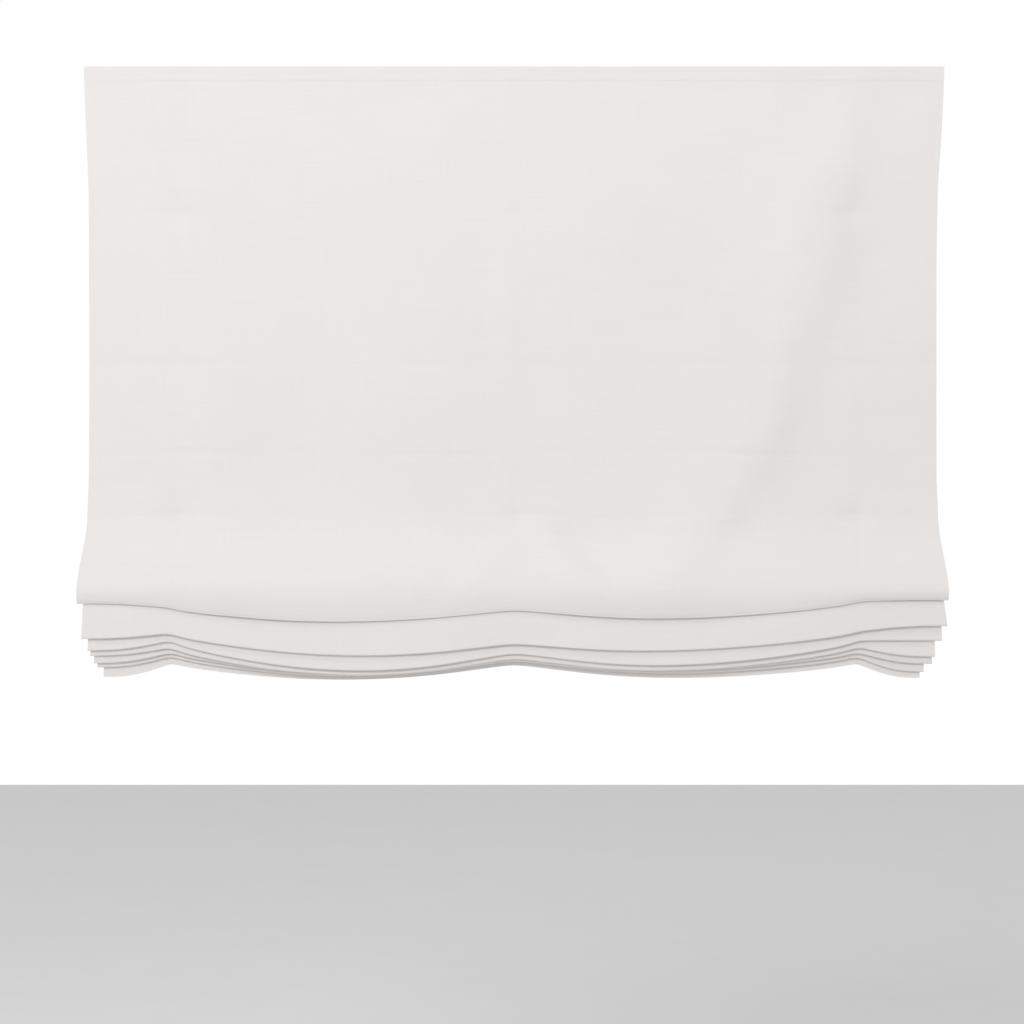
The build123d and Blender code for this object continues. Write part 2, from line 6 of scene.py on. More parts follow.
import bpy
import numpy as np
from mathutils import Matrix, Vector


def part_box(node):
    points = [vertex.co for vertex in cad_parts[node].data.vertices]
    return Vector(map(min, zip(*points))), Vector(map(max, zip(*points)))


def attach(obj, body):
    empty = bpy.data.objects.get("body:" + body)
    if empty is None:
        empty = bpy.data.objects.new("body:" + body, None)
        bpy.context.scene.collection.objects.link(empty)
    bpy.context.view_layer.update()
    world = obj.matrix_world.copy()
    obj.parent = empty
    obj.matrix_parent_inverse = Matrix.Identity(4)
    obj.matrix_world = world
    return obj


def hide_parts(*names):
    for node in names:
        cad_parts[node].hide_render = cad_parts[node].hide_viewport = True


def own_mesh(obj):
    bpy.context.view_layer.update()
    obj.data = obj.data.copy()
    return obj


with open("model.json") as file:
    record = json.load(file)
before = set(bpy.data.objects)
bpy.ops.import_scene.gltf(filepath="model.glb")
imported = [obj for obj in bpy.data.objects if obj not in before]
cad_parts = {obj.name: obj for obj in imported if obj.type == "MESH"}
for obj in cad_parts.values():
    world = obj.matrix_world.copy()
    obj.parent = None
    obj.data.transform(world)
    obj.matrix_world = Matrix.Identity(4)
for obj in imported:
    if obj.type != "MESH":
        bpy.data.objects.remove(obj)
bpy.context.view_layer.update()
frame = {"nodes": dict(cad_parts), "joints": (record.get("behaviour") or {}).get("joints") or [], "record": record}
NODES = frame["nodes"]
SIDES = ("left", "centre", "right")
MM = 0.001
TURN = 2 * math.pi


# ---- Places read from the frame, in millimetres --------------------------------------------------
def middle_height(node):
    """The height of the middle of a node's box."""
    low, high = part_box(node)
    return (low.z + high.z) / 2 / MM


panel_low, panel_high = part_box("cloth_panel")
CLOTH_TOP = panel_high.z / MM
CLOTH_Y = (panel_low.y + panel_high.y) / 2 / MM
HALF_WIDTH = panel_high.x / MM
RING_ROWS = 9
FREE_ROWS = 3  # the ring rows that still hang free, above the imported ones
ring_heights = [middle_height(f"ring_row_{row}") for row in range(1, RING_ROWS + 1)]
FREE_RINGS = ring_heights[:FREE_ROWS]
PACKED_RINGS = ring_heights[FREE_ROWS:]
SPLIT_Z = FREE_RINGS[-1]  # where the hanging cloth ends and the gathered cloth begins
cord_boxes = [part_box(f"lift_cord_{side}") for side in SIDES]
CORD_X = [(low.x + high.x) / 2 / MM for low, high in cord_boxes]
CORD_Y = (cord_boxes[0][0].y + cord_boxes[0][1].y) / 2 / MM
CORD_SPAN = CORD_X[2]
pack_lift = next(joint for joint in frame["joints"] if joint["name"] == "pack_lift")
HEADER_Z = pack_lift["deforming_nodes"][0]["fixed_end_z_m"] / MM  # the header's lower edge

# ---- Cloth, driving sizes in millimetres ---------------------------------------------------------
CLOTH_THICKNESS = 0.6
SIDE_HEM = 14.0  # width of the turned side hems
HEM_EXTRA = 0.35  # how much thicker the cloth is there, on each face
HEADER_EXTRA = 0.6  # the header's share of that
TAPE_WIDTH = 12.0
UPPER_TAPE = 0.35  # thickness of the tape that hangs
LOWER_TAPE = 0.3  # and of the tape in the folds
TAPE_GAP = 0.05  # between the cloth's back and a ring tape
TAPE_PLACES = 5  # points across a tape

# The grid: its columns across the whole cloth, and its rows down the header and the hanging panel
COLUMNS = 157
HEADER_ROWS = 9
PANEL_ROWS = 132
HEADER_END = HEADER_ROWS - 1
PANEL_END = HEADER_ROWS + PANEL_ROWS - 2
HEM_ROWS = (14, 11)  # the hem's upper edge lies between these rows from the end
FADE_SHARE = 0.105  # the panel's relief has faded out by this share of the gathered rows
EDGE_ROUNDS = 12  # rounds of smoothing of the side edges' outline
TAPE_ROWS = 121  # of the hanging tapes

# Each fold's lower edge, from the main fold in front to the hem behind: its height at the left end,
# left cord, left span, centre cord, right span, right cord and right end, and then how far it
# reaches sideways at the left and at the right end
CRESTS = (
    ((-731.0, -737.5, -756.5, -740.5, -751.5, -728.5, -726.5), (605.0, 600.5)),
    ((-780.0, -773.0, -803.5, -787.5, -796.0, -770.5, -762.5), (599.0, 599.5)),
    ((-796.5, -783.0, -824.5, -801.0, -816.5, -783.0, -783.0), (591.0, 593.0)),
    ((-804.0, -793.0, -831.0, -808.5, -824.0, -792.0, -805.5), (588.5, 584.0)),
    ((-814.5, -800.0, -830.5, -812.0, -825.0, -799.5, -815.5), (584.0, 581.0)),
    ((-820.5, -805.5, -833.5, -812.0, -829.0, -805.5, -827.0), (580.0, 570.0)),
    ((-834.5, -815.5, -838.8, -818.0, -836.0, -815.0, -836.0), (572.0, 565.0)),
)
CREST_SOFTNESS = 8.0  # smoothing of the crests along the blind
TUCK_INSET = 11.0  # the cloth behind a crest reaches this much less
FRONT = 38.5  # the main fold's front, forward of the flat cloth
FRONT_STEP = 5.75  # each fold lies this far behind the one before
FOLD_GAP = 3.4  # between a fold's front and its back
TUCK_RADIUS = 1.3
TUCK_SAG = 19.0  # how far a tuck hangs at mid-span
TUCK_DROOP = 9.0  # and at the cloth's free ends
EDGE_INSET = 2.0  # the gathered cloth starts this much narrower
MAIN_CURL = 1.7  # the main fold's crest turns back this much
# The main fold's upper rows: share of its reach forward, drop below the last free ring row, and
# share of the way out to its crest's reach
SWELL_ROWS = ((0.02, 14, 0), (0.12, 32, 0.2), (0.38, 54, 0.5), (0.70, 76, 0.8), (0.94, 98, 1))
# Its rows below them: share of its reach forward, what is added to it, and share of the way from
# a drop of SWELL_DROP to the crest
SWELL_DROP = 100
FALL_ROWS = ((1.01, 0, 0.35), (1, 0.1, 0.65), (1, -0.8, 0.88))

# The side edges as lines of (height, distance from the middle), going down
LEFT_EDGE = (
    (CLOTH_TOP, 600.0),
    (-5.5, 600.0),
    (-81, 596.5),
    (-170, 593.0),
    (-380, 592.5),
    (-560, 593.0),
    (-643, 596.5),
)
RIGHT_EDGE = (
    (CLOTH_TOP, 600.0),
    (-5.5, 599.5),
    (-81, 596.0),
    (-150, 591.0),
    (-258, 589.0),
    (-560, 589.0),
    (-643, 592.5),
)

# ---- Relief of the hanging cloth -----------------------------------------------------------------
# The long folds and hollows as lines of (height, place across), going down
RIGHT_FOLD = ((-31, 498), (-160, 472), (-296, 442), (-449, 398), (-603, 318), (-700, 250))
LEFT_FOLD = ((-100, -492), (-226, -466), (-450, -446), (-700, -424))
INNER_FOLD = ((-60, 412), (-330, 372), (-620, 352))
RIGHT_HOLLOW = ((-610, 52), (-645, 66), (-735, 138))
LEFT_HOLLOW = ((-610, -28), (-645, -40), (-735, -96))
# Dimples under the header: place across, height and depth
DIMPLES = ((-285, -42, 0.9), (-173, -36, 1.0), (-62, -38, -0.8), (140, -44, 0.9), (245, -40, 0.8))
CREASES = ((-399.0, 0.5), (-525.0, 0.9), (-616.0, 0.5))  # level creases: height and depth
CORD_MARKS = (-106.0, -315.0)  # heights of the small dimples beside each cord
SWELL_START, SWELL_LENGTH, SWELL = -530, 73, 4.0  # the swell towards the main fold
RING_HOLD = 0.6  # share of the relief that each ring takes away


def smooth(low, high, value):
    """0 below low, 1 above high, and a soft step between them."""
    share = np.clip((value - low) / (high - low), 0, 1)
    return share * share * (3 - 2 * share)


def bump(value, middle, width):
    """A soft bump of height 1."""
    return np.exp(-(((value - middle) / width) ** 2))


def line_at(line, z):
    """Where a line of (height, place) points, going down, lies at height z."""
    return np.interp(-z, [-height for height, _ in line], [place for _, place in line])


def wave_noise(x, z, seed, size):
    """Soft unevenness between about -1 and 1, from a few seeded waves."""
    draw = np.random.default_rng(seed)
    count = 7
    total = np.zeros(np.broadcast(x, z).shape)
    for _ in range(count):
        angle = draw.uniform(0, math.pi)
        length = size * draw.uniform(0.7, 1.9)
        phase = draw.uniform(0, TURN)
        total += np.sin((x * math.cos(angle) + z * math.sin(angle)) * TURN / length + phase)
    return total / math.sqrt(count) / 1.4


def span_share(x):
    """How far from a cord a place between two cords lies: 0 at a cord and 1 at mid-span. It
    falls steeply beside an outer cord and gently beside the centre one."""
    across = np.clip(np.abs(x) / CORD_SPAN, 0, 1)
    power = 0.62 + 0.55 * (1 - across)
    return np.sin(math.pi * across) ** power


def end_share(x):
    """0 at an outer cord, 1 at the cloth's free end."""
    out = np.clip((np.abs(x) - CORD_SPAN) / (HALF_WIDTH - CORD_SPAN), 0, 1)
    return np.sin(np.clip(out / 0.85, 0, 1) * math.pi / 2)


def soften(values, step, width):
    """Values along the blind, smoothed."""
    reach = int(3 * width / step)
    weights = np.exp(-((np.arange(-reach, reach + 1) * step / width) ** 2) / 2)
    padded = np.pad(values, reach, mode="reflect", reflect_type="odd")
    return np.convolve(padded, weights / weights.sum(), mode="valid")


def crest_line(levels, x):
    """The height of one fold's lower edge along the blind."""
    left_end, left_cord, left_span, centre, right_span, right_cord, right_end = levels
    step = 2.0
    fine = np.arange(-HALF_WIDTH, HALF_WIDTH + 1.0, step)
    at_cords = np.interp(fine, CORD_X, (left_cord, centre, right_cord))
    left_sag = left_span - (left_cord + centre) / 2
    right_sag = right_span - (right_cord + centre) / 2
    sag = np.where(fine < 0, left_sag, right_sag) * span_share(fine)
    droop = np.where(fine < 0, left_end - left_cord, right_end - right_cord) * end_share(fine)
    return np.interp(x, fine, soften(at_cords + sag + droop, step, CREST_SOFTNESS))


def beside_line(x, line, proud, side, edge, reach):
    """Cloth that stands proud left (-1) or right (1) of a line, over an edge so wide, and falls
    back to its plane further off."""
    return proud * (1 + side * np.tanh((x - line) / edge)) * bump(x, line, reach)


def relief(x, z):
    """How far the hanging cloth stands forward of its plane, in millimetres: soft folds that fall
    from the header, puckers where the rings are sewn, and creases kept from packing. Each call of
    smooth() on z gives the two heights between which a feature sets in or ends."""
    hang = smooth(-20, -330, z)
    forward = 2.6 * span_share(x) * smooth(-120, -560, z)
    # the long soft folds that run inwards from the upper corners
    fold = line_at(RIGHT_FOLD, z) + 4 * np.sin(z / 47)
    forward = forward + beside_line(x, fold, 4.6, side=-1, edge=30, reach=115) * smooth(-10, -150, z)
    fold = line_at(LEFT_FOLD, z)
    forward = forward + beside_line(x, fold, 2.6, side=1, edge=24, reach=90) * smooth(-70, -190, z)
    inner = bump(x, line_at(INNER_FOLD, z), 24)
    forward = forward + 1.2 * inner * smooth(-60, -200, z) * smooth(-660, -480, z)
    # soft upright ripples and dimples under the header, and long ones further down
    forward = forward + 0.55 * np.sin(x / 23 + 1.3 * np.sin(x / 71)) * bump(z, -34, 34)
    forward = forward + 0.7 * hang * np.sin(x / 52 + z / 240)
    for place, height, depth in DIMPLES:
        forward = forward - depth * bump(x, place, 9) * bump(z, height, 18)
    # puckers beside the cords
    for cord in CORD_X:
        for ring in FREE_RINGS:
            forward = forward - 0.5 * bump(x, cord, 40) * bump(z, ring, 4)
            forward = forward + 0.5 * bump(x, cord, 24) * bump(z, ring + 11, 7)
        for mark in CORD_MARKS:
            forward = forward - 0.6 * bump(x, cord - 3, 12) * bump(z, mark, 5)
    # level creases, where the cloth was folded before
    for level, depth in CREASES:
        level_here = level + 1.6 * np.sin(x / 90)
        faint = 0.55 + 0.45 * np.sin(x / 61 + level)
        forward = forward - depth * faint * bump(z, level_here, 4.6)
    # the hollow beside the centre cord, above the main fold, and its fainter twin on the left
    low_down = smooth(-560, -680, z)
    hollow = line_at(RIGHT_HOLLOW, z)
    forward = forward - 5.0 * np.tanh((x - hollow) / 15 - 0.6) * bump(x, hollow, 48) * low_down
    hollow = line_at(LEFT_HOLLOW, z)
    forward = forward + 2.4 * np.tanh((x - hollow) / 16) * bump(x, hollow, 42) * low_down
    # it starts to swell before the last free ring row, towards the main fold
    forward = forward + SWELL * np.clip((SWELL_START - z) / SWELL_LENGTH, 0, 1.2) ** 2
    uneven = 0.5 * wave_noise(x, z, seed=11, size=190) + 0.16 * wave_noise(x, z, seed=12, size=62)
    forward = forward + uneven * hang
    # the cloth stays in front of its tapes, and is sewn back to its plane at each ring
    beside = sum(bump(x, cord, 26) for cord in CORD_X)
    clear = 0.5 * (forward + np.sqrt(forward**2 + 1.2)) + 0.4
    forward = forward + beside * (clear - forward)
    for cord in CORD_X:
        for ring in FREE_RINGS:
            forward = forward * (1 - RING_HOLD * bump(x, cord, 24) * bump(z, ring, 20))
    return forward


def corner_cut(points, rounds):
    """Rounds a control polygon off, by cutting its corners again and again."""
    for _ in range(rounds):
        before, after = points[:-1], points[1:]
        cut = np.stack((0.75 * before + 0.25 * after, 0.25 * before + 0.75 * after), axis=1)
        points = np.concatenate((points[:1], cut.reshape(-1, *points.shape[1:]), points[-1:]))
    return points


def between(first, second, share):
    """A (left, right) pair so far from the first pair to the second."""
    return tuple(a + (b - a) * share for a, b in zip(first, second))


def fold_rows(x):
    """The gathered cloth below the last free ring row: for each row its forward reach, height and
    sideways reach at the left and right ends, as an array (row, column, 4). Each fold comes down
    its front to a crest, and goes up its back to a tuck at a packed ring row."""
    span, ends = span_share(x), end_share(x)
    sag = TUCK_SAG * span + TUCK_DROOP * ends
    start_reach = (LEFT_EDGE[-1][1] - EDGE_INSET, RIGHT_EDGE[-1][1] - EDGE_INSET)
    swell_end = SPLIT_Z - SWELL_DROP
    rows = []

    def row(forward, height, reach):
        rows.append(np.stack(np.broadcast_arrays(forward, height, *reach), axis=-1))

    row(0 * x, SPLIT_Z, start_reach)
    for loop, (levels, reach) in enumerate(CRESTS):
        crest = crest_line(levels, x)
        belly = 2.2 * span - 1.4 * ends + 0.5 * np.sin(x / 83 + 2.1 * loop)
        front = FRONT - loop * FRONT_STEP + belly * (1 - loop / len(CRESTS))
        back = front - FOLD_GAP
        # down the front
        if loop == 0:
            for share, drop, outwards in SWELL_ROWS:
                row(share * front, SPLIT_Z - drop, between(start_reach, reach, outwards))
            for share, extra, down in FALL_ROWS:
                row(share * front + extra, (1 - down) * swell_end + down * crest, reach)
        else:
            below = tuck - TUCK_RADIUS
            shoulder = below - 0.42 * front
            row(0.55 * front, below - 0.2 * front, between(tuck_reach, reach, 0.1))
            row(front - 0.4, shoulder - 4, between(tuck_reach, reach, 0.35))
            row(front + 0.5, 0.5 * (shoulder + crest), between(tuck_reach, reach, 0.7))
        if loop == len(CRESTS) - 1:
            row(front + 0.2, crest + 26, reach)
            row(front + 0.2, crest + 8, reach)
            row(front, crest, reach)
            break
        # round the crest
        curl = MAIN_CURL if loop == 0 else 0.0
        row(front + 0.1 - curl, crest + 5 - 2 * curl, reach)
        row(front - curl, crest, reach)
        row(back, crest, reach)
        row(back - 0.1, crest + 5, reach)
        # up the back and into the tuck
        tuck = PACKED_RINGS[loop] - sag
        above = tuck + TUCK_RADIUS
        tuck_reach = tuple(side - TUCK_INSET for side in reach)
        if loop == 0:
            row(0.96 * back, tuck - 12, between(reach, tuck_reach, 0.6))
            row(0.72 * back, tuck - 1, between(reach, tuck_reach, 0.8))
            row(0.36 * back, above, tuck_reach)
        else:
            row(back, above + 6 - 0.2 * back, between(reach, tuck_reach, 0.7))
            row(0.45 * back, above + 1.5 - 0.1 * back, tuck_reach)
        row(0 * x, above, tuck_reach)
        row(0 * x, tuck - TUCK_RADIUS, tuck_reach)
    return corner_cut(np.array(rows), rounds=2)


def column_places():
    """Where the cloth's columns lie across it: closer beside the cords and at the side hems."""
    fine = np.linspace(-HALF_WIDTH, HALF_WIDTH, 4001)
    density = 1 + 1.1 * sum(bump(fine, cord, 30) for cord in CORD_X)
    density = density + 1.5 * bump(np.abs(fine), HALF_WIDTH - SIDE_HEM, 8)
    running = np.cumsum(density)
    share = (running - running[0]) / (running[-1] - running[0])
    return np.interp(np.linspace(0, 1, COLUMNS), share, fine)


COLUMN_X = column_places()


def cloth_grid():
    """The whole cloth's middle surface, from its top edge to its hem, as an array
    (row, column, 3) in millimetres."""
    x = COLUMN_X
    header_z = np.linspace(CLOTH_TOP, HEADER_Z, HEADER_ROWS)
    panel_z = np.linspace(HEADER_Z, SPLIT_Z, PANEL_ROWS)[1:]
    rows = []
    for z in np.concatenate((header_z, panel_z)):
        row = np.broadcast_arrays(0 * x, z, line_at(LEFT_EDGE, z), line_at(RIGHT_EDGE, z))
        rows.append(np.stack(row, axis=-1))
    folds = fold_rows(x)
    flat = np.concatenate((np.array(rows), folds[1:]))
    # soften the side edges' outline, which is made of straight stretches
    for side in (2, 3):
        edge = flat[:, 0, side]
        for _ in range(EDGE_ROUNDS):
            edge[1:-1] = (edge[:-2] + 2 * edge[1:-1] + edge[2:]) / 4
        flat[:, :, side] = edge[:, None]
    forward, height = flat[..., 0], flat[..., 1]
    # the sideways reach moves only the cloth outside the outer cords
    reach = np.where(x < 0, flat[..., 2], flat[..., 3])
    beyond = np.clip(np.abs(x) - CORD_SPAN, 0, None) * (reach - CORD_SPAN) / (HALF_WIDTH - CORD_SPAN)
    place = np.sign(x) * (np.minimum(np.abs(x), CORD_SPAN) + beyond)
    # the relief fades out as the cloth goes into the folds
    fade_start = PANEL_END + 6
    fade_end = PANEL_END + 7 + int(FADE_SHARE * len(folds))
    fade = 1 - smooth(fade_start, fade_end, np.arange(len(flat)))[:, None]
    deep = 1 - fade
    forward = forward + relief(place, height) * fade
    forward = forward + deep * (0.35 * wave_noise(place, height * 1.7, seed=21, size=120))
    height = height + deep * (0.5 * wave_noise(place, height * 0.3, seed=22, size=150))
    return np.stack((place, CLOTH_Y - forward, height), axis=-1)


def grid_normals(grid):
    """The surface's normal at each point, towards the room."""
    normal = np.cross(np.gradient(grid, axis=0), np.gradient(grid, axis=1))
    return normal / np.linalg.norm(normal, axis=-1, keepdims=True)


def new_mesh(name, vertices, faces):
    """A smooth-shaded mesh object in the scene."""
    mesh = bpy.data.meshes.new(name)
    mesh.from_pydata([tuple(v) for v in vertices], [], faces)
    mesh.validate()
    mesh.shade_smooth()
    piece = bpy.data.objects.new(name, mesh)
    bpy.context.scene.collection.objects.link(piece)
    return piece


def cloth_piece(name, grid, normal, thickness, first, last):
    """A stretch of the cloth between two rows, with its two faces and its outer edges."""
    middle = grid[first : last + 1] * MM
    way = normal[first : last + 1]
    half = thickness[first : last + 1, :, None] * MM / 2
    rows, columns = middle.shape[:2]
    count = rows * columns
    points = np.concatenate(((middle + way * half).reshape(-1, 3), (middle - way * half).reshape(-1, 3)))
    index = np.arange(count).reshape(rows, columns)
    corner = [index[:-1, :-1], index[1:, :-1], index[1:, 1:], index[:-1, 1:]]
    front = np.stack(corner, axis=-1).reshape(-1, 4)
    back = front[:, ::-1] + count
    rims = []
    for edge, flip in ((index[:, 0], False), (index[:, -1], True), (index[0], True), (index[-1], False)):
        rim = np.stack((edge[:-1], edge[:-1] + count, edge[1:] + count, edge[1:]), axis=-1)
        rims.append(rim[:, ::-1] if flip else rim)
    faces = np.concatenate([front, back] + rims)
    piece = new_mesh(name, points, faces.tolist())
    both_ways = np.concatenate((way.reshape(-1, 3), -way.reshape(-1, 3)))
    piece.data.normals_split_custom_set_from_vertices(both_ways.tolist())
    return piece


# ---- Shader building -----------------------------------------------------------------------------
def material(name, colour, roughness, **sockets):
    """A new material with its Principled node's plain sockets set."""
    made = bpy.data.materials.new(name)
    made.use_nodes = True
    shader = made.node_tree.nodes["Principled BSDF"]
    shader.inputs["Base Color"].default_value = (*colour, 1)
    shader.inputs["Roughness"].default_value = roughness
    for socket, value in sockets.items():
        shader.inputs[socket.replace("_", " ")].default_value = value
    return made, made.node_tree, shader


def maths(tree, operation, first, second=None):
    """A Math node of two numbers or outputs."""
    node = tree.nodes.new("ShaderNodeMath")
    node.operation = operation
    for socket, value in zip(node.inputs, (first, second)):
        if isinstance(value, (int, float)):
            socket.default_value = value
        elif value is not None:
            tree.links.new(value, socket)
    return node.outputs[0]


def spread(tree, value, start, span):
    """start + value x span, for a value between 0 and 1."""
    return maths(tree, "ADD", start, maths(tree, "MULTIPLY", value, span))


def shared(tree, first, first_share, second, second_share):
    """Two values, each times its share, added up."""
    first_part = maths(tree, "MULTIPLY", first, first_share)
    return maths(tree, "ADD", first_part, maths(tree, "MULTIPLY", second, second_share))


def mix_colour(tree, factor, first, second, blend="MIX"):
    """A Mix node of two colours."""
    node = tree.nodes.new("ShaderNodeMix")
    node.data_type = "RGBA"
    node.blend_type = blend
    # inputs 6 and 7 and output 2 are the node's colour sockets
    for socket, value in zip((node.inputs[0], node.inputs[6], node.inputs[7]), (factor, first, second)):
        if isinstance(value, (int, float)):
            socket.default_value = value
        elif isinstance(value, tuple):
            socket.default_value = (*value, 1)
        else:
            tree.links.new(value, socket)
    return node.outputs[2]


def noise(tree, vector, scale, detail=2.0):
    node = tree.nodes.new("ShaderNodeTexNoise")
    node.inputs["Scale"].default_value = scale
    node.inputs["Detail"].default_value = detail
    tree.links.new(vector, node.inputs["Vector"])
    return node.outputs["Fac"]


def mapped(tree, vector, stretch):
    """Coordinates stretched along each axis."""
    node = tree.nodes.new("ShaderNodeMapping")
    node.inputs["Scale"].default_value = stretch
    tree.links.new(vector, node.inputs["Vector"])
    return node.outputs["Vector"]


def stretched(tree, stretch=(1, 1, 1)):
    """Object coordinates, in metres, stretched along each axis."""
    return mapped(tree, tree.nodes.new("ShaderNodeTexCoord").outputs["Object"], stretch)


def darkened(colour, share):
    """A colour times a share."""
    return tuple(share * c for c in colour)


def bump_from(tree, height, distance, strength):
    node = tree.nodes.new("ShaderNodeBump")
    node.inputs["Distance"].default_value = distance
    node.inputs["Strength"].default_value = strength
    tree.links.new(height, node.inputs["Height"])
    return node.outputs["Normal"]


# ---- Materials -----------------------------------------------------------------------------------
CLOTH_COLOUR = (0.806, 0.783, 0.766)
CLOTH_SHADE = (0.778, 0.754, 0.732)
YARN_TINT = (0.72, 0.70, 0.66)
# painted shade: the darker colour that the weave mixes in, a little, for the gaps between the yarns
PAINTED_GAP_SHADE = (0.70, 0.68, 0.63)
SEE_THROUGH = 0.1  # share of the light that the cloth lets through
YARN = 0.62  # millimetres from yarn to yarn


def cloth_material():
    """Slightly sheer plain weave with uneven yarns. The weave follows the cloth's own flat
    coordinates, which the pieces carry as their UV map, in millimetres."""
    made, tree, shader = material(
        "cloth_plain_weave",
        CLOTH_COLOUR,
        0.82,
        Sheen_Weight=0.22,
        Sheen_Roughness=0.45,
        Specular_IOR_Level=0.25,
    )
    uv_map = tree.nodes.new("ShaderNodeUVMap")
    uv_map.uv_map = "flat_mm"
    flat = uv_map.outputs["UV"]
    split = tree.nodes.new("ShaderNodeSeparateXYZ")
    tree.links.new(flat, split.inputs[0])
    # yarns wander a little
    drift = maths(tree, "MULTIPLY", noise(tree, mapped(tree, flat, (0.02, 0.02, 1)), 1.0, 3.0), 2.0)

    def yarn_wave(place):
        return maths(tree, "SINE", maths(tree, "MULTIPLY", maths(tree, "ADD", place, drift), TURN / YARN))

    def uneven(stretch):
        return noise(tree, mapped(tree, flat, stretch), 1.0)

    weave = maths(tree, "MULTIPLY", yarn_wave(split.outputs[0]), yarn_wave(split.outputs[1]))
    woven = maths(tree, "MULTIPLY", maths(tree, "ADD", weave, 1.0), 0.5)
    # some yarns are thicker, and the tone is a little cloudy
    yarns = shared(tree, uneven((0.012, 0.9, 1)), 0.65, uneven((0.8, 0.010, 1)), 0.35)
    tone = shared(tree, yarns, 0.75, uneven((0.006, 0.006, 1)), 0.25)
    ramp = tree.nodes.new("ShaderNodeMapRange")
    ramp.inputs["From Min"].default_value = 0.36
    ramp.inputs["From Max"].default_value = 0.64
    tree.links.new(tone, ramp.inputs["Value"])
    base = mix_colour(tree, ramp.outputs[0], CLOTH_SHADE, CLOTH_COLOUR)
    base = mix_colour(tree, 0.05, base, YARN_TINT, "MULTIPLY")
    # painted shade in the gaps between the yarns: the colour darkens a little, following the weave
    base = mix_colour(tree, maths(tree, "MULTIPLY", woven, 0.05), base, PAINTED_GAP_SHADE)
    tree.links.new(base, shader.inputs["Base Color"])
    tree.links.new(spread(tree, yarns, 0.76, 0.14), shader.inputs["Roughness"])
    height = maths(tree, "ADD", maths(tree, "MULTIPLY", woven, 0.35), yarns)
    normal = bump_from(tree, height, 0.0004, 0.35)
    tree.links.new(normal, shader.inputs["Normal"])
    through = tree.nodes.new("ShaderNodeBsdfTranslucent")
    tree.links.new(base, through.inputs["Color"])
    tree.links.new(normal, through.inputs["Normal"])
    blend = tree.nodes.new("ShaderNodeMixShader")
    blend.inputs[0].default_value = SEE_THROUGH
    tree.links.new(shader.outputs[0], blend.inputs[1])
    tree.links.new(through.outputs[0], blend.inputs[2])
    tree.links.new(blend.outputs[0], tree.nodes["Material Output"].inputs["Surface"])
    return made


def tape_material(name, colour, rib, thread=0.8):
    """A woven narrow tape with ribs across it and threads along it, so many millimetres apart."""
    made, tree, shader = material(name, colour, 0.8, Sheen_Weight=0.15, Specular_IOR_Level=0.3)
    place = stretched(tree)
    split = tree.nodes.new("ShaderNodeSeparateXYZ")
    tree.links.new(place, split.inputs[0])
    ribs = maths(tree, "SINE", maths(tree, "MULTIPLY", split.outputs[2], TURN / (rib * MM)))
    threads = maths(tree, "SINE", maths(tree, "MULTIPLY", split.outputs[0], TURN / (thread * MM)))
    height = maths(tree, "ADD", ribs, maths(tree, "MULTIPLY", threads, 0.6))
    cloudy = noise(tree, place, 160, 3.0)
    tree.links.new(mix_colour(tree, cloudy, darkened(colour, 0.86), colour), shader.inputs["Base Color"])
    tree.links.new(bump_from(tree, height, 0.0002, 0.5), shader.inputs["Normal"])
    return made


def nap_material(name, colour, scale, distance):
    """Hooks or loops of touch tape: a dense fine pile."""
    made, tree, shader = material(name, colour, 0.9, Sheen_Weight=0.3, Specular_IOR_Level=0.2)
    cells = tree.nodes.new("ShaderNodeTexVoronoi")
    cells.inputs["Scale"].default_value = scale
    tree.links.new(stretched(tree), cells.inputs["Vector"])
    depth = cells.outputs["Distance"]
    tree.links.new(mix_colour(tree, depth, colour, darkened(colour, 0.72)), shader.inputs["Base Color"])
    tree.links.new(bump_from(tree, depth, distance, 0.8), shader.inputs["Normal"])
    return made


def braid_material(name, colour):
    """A braided cord: slanting bands of strands, a little uneven."""
    made, tree, shader = material(name, colour, 0.7, Sheen_Weight=0.1, Specular_IOR_Level=0.35)
    wave = tree.nodes.new("ShaderNodeTexWave")
    wave.wave_type = "BANDS"
    wave.bands_direction = "DIAGONAL"
    wave.inputs["Scale"].default_value = 520
    wave.inputs["Distortion"].default_value = 1.5
    tree.links.new(stretched(tree), wave.inputs["Vector"])
    strands = wave.outputs["Fac"]
    tree.links.new(mix_colour(tree, strands, darkened(colour, 0.8), colour), shader.inputs["Base Color"])
    tree.links.new(bump_from(tree, strands, 0.0002, 0.6), shader.inputs["Normal"])
    return made


def powder_coat(name, colour):
    """Satin white powder coat on aluminium: faint orange peel."""
    made, tree, shader = material(name, colour, 0.42, Coat_Weight=0.15, Coat_Roughness=0.3)
    peel = noise(tree, stretched(tree), 900)
    haze = noise(tree, stretched(tree, (0.3, 1, 1)), 26, 3.0)
    tree.links.new(mix_colour(tree, haze, darkened(colour, 0.95), colour), shader.inputs["Base Color"])
    tree.links.new(spread(tree, haze, 0.34, 0.16), shader.inputs["Roughness"])
    tree.links.new(bump_from(tree, peel, 0.00015, 0.25), shader.inputs["Normal"])
    return made


def metal(name, colour, roughness, grain):
    """Plated or spring steel, with a fine rolled grain along X and a cloudy plating."""
    made, tree, shader = material(name, colour, roughness, Metallic=1.0)
    lines = noise(tree, stretched(tree, (0.04, 1, 1)), grain, 3.0)
    spangle = noise(tree, stretched(tree), 240, 4.0)
    tone = shared(tree, lines, 0.4, spangle, 0.6)
    tree.links.new(mix_colour(tree, tone, darkened(colour, 0.72), colour), shader.inputs["Base Color"])
    tree.links.new(spread(tree, spangle, roughness - 0.1, 0.24), shader.inputs["Roughness"])
    tree.links.new(bump_from(tree, lines, 0.00008, 0.4), shader.inputs["Normal"])
    return made


